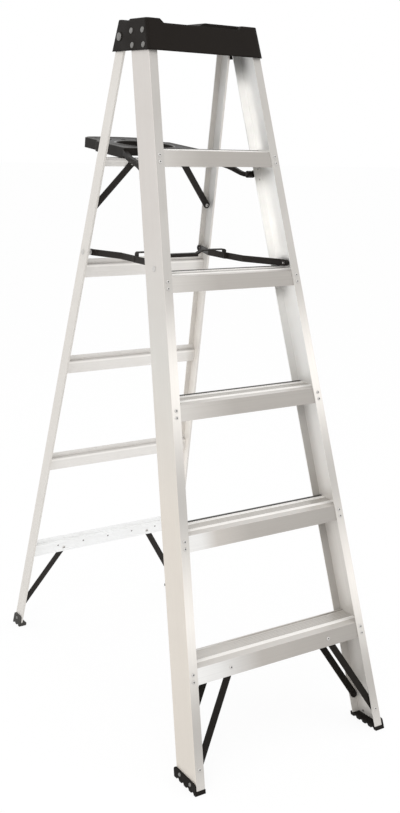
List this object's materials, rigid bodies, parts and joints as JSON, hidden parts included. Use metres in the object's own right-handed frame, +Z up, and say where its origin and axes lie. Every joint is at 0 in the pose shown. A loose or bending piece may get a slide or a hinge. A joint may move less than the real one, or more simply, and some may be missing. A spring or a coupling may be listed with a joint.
{
  "type": "folding stepladder",
  "caption": "Folding aluminium stepladder with flat treads, black moulded top cap, hinged rear frame, folding spreader and a drop-down pail shelf.",
  "frame": {"origin": "middle of the base on the floor, with the ladder open", "axes": "+Z up, the climbing side faces -Y, +X to the right seen from the climbing side"},
  "size_m": [0.5846, 1.0224, 1.745],
  "materials": {
    "rail_aluminium": "mill finish extrusion",
    "step_aluminium": "mill finish extrusion",
    "bar_aluminium": "mill finish sheet",
    "foot_rubber": "moulded, matt",
    "cap_plastic": "moulded, fine grain",
    "shelf_plastic": "moulded, fine grain",
    "black_steel": "black paint, satin",
    "spacer_plastic": "moulded",
    "rivet_steel": "plain steel"
  },
  "bodies": {
    "front_section": {"cap_rivets": "rivet_steel", "front_foot_left": "foot_rubber", "front_foot_right": "foot_rubber", "front_foot_rivets": "rivet_steel", "front_rail_left": "rail_aluminium", "front_rail_right": "rail_aluminium", "hinge_pins": "rivet_steel", "knee_brace_back_left": "black_steel", "knee_brace_back_right": "black_steel", "knee_brace_front_left": "black_steel", "knee_brace_front_right": "black_steel", "knee_brace_rivets": "rivet_steel", "shelf_bracket_left": "black_steel", "shelf_bracket_right": "black_steel", "shelf_bracket_rivets": "rivet_steel", "shelf_pins": "black_steel", "shelf_spacers": "spacer_plastic", "spreader_front_pins": "rivet_steel", "spreader_front_spacers": "spacer_plastic", "step_1": "step_aluminium", "step_2": "step_aluminium", "step_3": "step_aluminium", "step_4": "step_aluminium", "step_5": "step_aluminium", "step_rivets": "rivet_steel", "top_cap": "cap_plastic"},
    "rear_section": {"lower_rear_brace_left": "black_steel", "lower_rear_brace_right": "black_steel", "rear_brace_rivets": "rivet_steel", "rear_foot_left": "foot_rubber", "rear_foot_right": "foot_rubber", "rear_foot_rivets": "rivet_steel", "rear_horizontal_1": "bar_aluminium", "rear_horizontal_2": "bar_aluminium", "rear_horizontal_3": "bar_aluminium", "rear_horizontal_4": "bar_aluminium", "rear_horizontal_5": "bar_aluminium", "rear_horizontal_rivets": "rivet_steel", "rear_rail_left": "rail_aluminium", "rear_rail_right": "rail_aluminium", "spreader_rear_posts": "spacer_plastic", "upper_rear_brace_left": "black_steel", "upper_rear_brace_right": "black_steel"},
    "spreader_front": {"knuckle_pins": "black_steel", "spreader_crossbar": "black_steel", "spreader_front_link_left": "black_steel", "spreader_front_link_right": "black_steel"},
    "spreader_rear": {"spreader_rear_link_left": "black_steel", "spreader_rear_link_right": "black_steel"},
    "shelf": {"pail_shelf": "shelf_plastic"}
  },
  "joints": [
    {"name": "rear_fold", "type": "hinge", "parent": "front_section", "child": "rear_section", "pos_m": [0, 0.14098, 1.704], "axis": [-1, 0, 0], "range_deg": [0, 28.5]},
    {"name": "spreader_front_turn", "type": "hinge", "parent": "front_section", "child": "spreader_front", "pos_m": [0, -0.11779, 1.15795], "axis": [1, 0, 0], "range_deg": [0, 71.19]},
    {"name": "spreader_rear_turn", "type": "hinge", "parent": "spreader_front", "child": "spreader_rear", "pos_m": [0, 0.07712, 1.15486], "axis": [-1, 0, 0], "range_deg": [0, 151.03]},
    {"name": "shelf_lift", "type": "hinge", "parent": "front_section", "child": "shelf", "pos_m": [0, 0.00475, 1.37593], "axis": [1, 0, 0], "range_deg": [0, 36.05]}
  ],
  "couplings": [
    {"joint": "spreader_front_turn", "follows": "rear_fold", "ratio": 2.496},
    {"joint": "spreader_rear_turn", "follows": "rear_fold", "ratio": 5.2974},
    {"joint": "shelf_lift", "follows": "rear_fold", "ratio": 1.2632}
  ]
}
